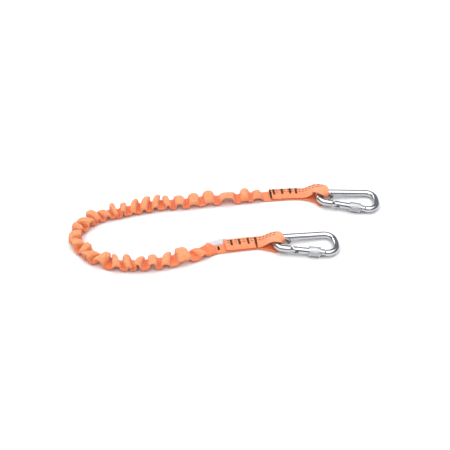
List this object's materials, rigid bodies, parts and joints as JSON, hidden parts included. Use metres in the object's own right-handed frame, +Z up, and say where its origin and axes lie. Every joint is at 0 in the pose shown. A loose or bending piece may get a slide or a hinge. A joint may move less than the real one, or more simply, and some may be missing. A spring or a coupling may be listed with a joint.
{
  "type": "shock absorbing lanyard",
  "caption": "Elastic webbing lanyard, gathered along its length, with a sewn eye and a screw-lock snap hook at each end; it links a harness or a tool to an anchor.",
  "frame": {"origin": "on the floor, under the middle of the box round the two ends (straps, hooks and label)", "axes": "+X towards the hooks, along the straps; +Z up from the floor; the bend of the gathered leg is at -X"},
  "size_m": [0.3818, 0.1562, 0.018],
  "materials": {
    "plated_wire": "gloss",
    "plated_eyelet": "gloss",
    "plated_gate": "gloss",
    "steel_pin": "satin",
    "spring_steel": "satin",
    "satin_nut": "satin",
    "orange_webbing": "matte",
    "black_thread": "matte",
    "white_label": "matte",
    "elastic": "matte"
  },
  "bodies": {
    "gathered_leg": {"webbing_sheath": "orange_webbing", "elastic_core": "elastic"},
    "far_strap": {"far_eye_strap": "orange_webbing", "far_bar_tack_1": "black_thread", "far_bar_tack_2": "black_thread", "far_bar_tack_3": "black_thread", "far_bar_tack_4": "black_thread", "far_bar_tack_5": "black_thread"},
    "far_hook": {"far_hook_body": "plated_wire", "far_eyelet": "plated_eyelet"},
    "far_gate_lever": {"far_gate": "plated_gate", "far_gate_rivet": "steel_pin", "far_latch_pin": "steel_pin", "far_gate_spring": "spring_steel"},
    "far_plunger": {"far_gate_plunger": "steel_pin"},
    "far_nut": {"far_lock_nut": "satin_nut"},
    "near_strap": {"near_eye_strap": "orange_webbing", "near_bar_tack_1": "black_thread", "near_bar_tack_2": "black_thread", "near_bar_tack_3": "black_thread", "near_bar_tack_4": "black_thread", "near_bar_tack_5": "black_thread", "label": "white_label"},
    "near_hook": {"near_hook_body": "plated_wire", "near_eyelet": "plated_eyelet"},
    "near_gate_lever": {"near_gate": "plated_gate", "near_gate_rivet": "steel_pin", "near_latch_pin": "steel_pin", "near_gate_spring": "spring_steel"},
    "near_plunger": {"near_gate_plunger": "steel_pin"},
    "near_nut": {"near_lock_nut": "satin_nut"}
  },
  "joints": [
    {"name": "far_stretch", "type": "slide", "parent": "gathered_leg", "child": "far_strap", "axis": [1, 0, 0], "range_m": [0, 0.17], "stiffness_N_per_m": 100},
    {"name": "far_hook_swing", "type": "hinge", "parent": "far_strap", "child": "far_hook", "pos_m": [0.03628, 0.04702, 0.0092], "axis": [-0.7005, -0.7121, 0.0463], "range_deg": [-30, 30]},
    {"name": "far_gate_hinge", "type": "hinge", "parent": "far_hook", "child": "far_gate_lever", "pos_m": [0.05429, 0.02778, 0.00789], "axis": [0.0692, -0.0031, 0.9976], "range_deg": [0, 30], "stiffness_Nm_per_rad": 0.03, "springref_deg": -20.05},
    {"name": "far_plunger_slide", "type": "slide", "parent": "far_gate_lever", "child": "far_plunger", "axis": [0.9806, -0.1838, -0.0685], "range_m": [0, 0.0009]},
    {"name": "far_nut_slide", "type": "slide", "parent": "far_gate_lever", "child": "far_nut", "axis": [-0.9806, 0.1838, 0.0685], "range_m": [-0.0055, 0.003]},
    {"name": "near_stretch", "type": "slide", "parent": "gathered_leg", "child": "near_strap", "axis": [1, 0, 0], "range_m": [0, 0.17], "stiffness_N_per_m": 100},
    {"name": "near_hook_swing", "type": "hinge", "parent": "near_strap", "child": "near_hook", "pos_m": [-0.02375, -0.04236, 0.0092], "axis": [-0.3526, -0.9354, 0.0272], "range_deg": [-30, 30]},
    {"name": "near_gate_hinge", "type": "hinge", "parent": "near_hook", "child": "near_gate_lever", "pos_m": [-0.00231, -0.05693, 0.00782], "axis": [0.0668, 0.0039, 0.9978], "range_deg": [0, 30], "stiffness_Nm_per_rad": 0.03, "springref_deg": -20.05},
    {"name": "near_plunger_slide", "type": "slide", "parent": "near_gate_lever", "child": "near_plunger", "axis": [0.9944, -0.082, -0.0663], "range_m": [0, 0.0009]},
    {"name": "near_nut_slide", "type": "slide", "parent": "near_gate_lever", "child": "near_nut", "axis": [-0.9944, 0.082, 0.0663], "range_m": [-0.0055, 0.003]}
  ],
  "couplings": [
    {"joint": "far_plunger_slide", "follows": "far_gate_hinge", "m_per_rad": 0.0017188},
    {"joint": "near_plunger_slide", "follows": "near_gate_hinge", "m_per_rad": 0.0017188}
  ]
}
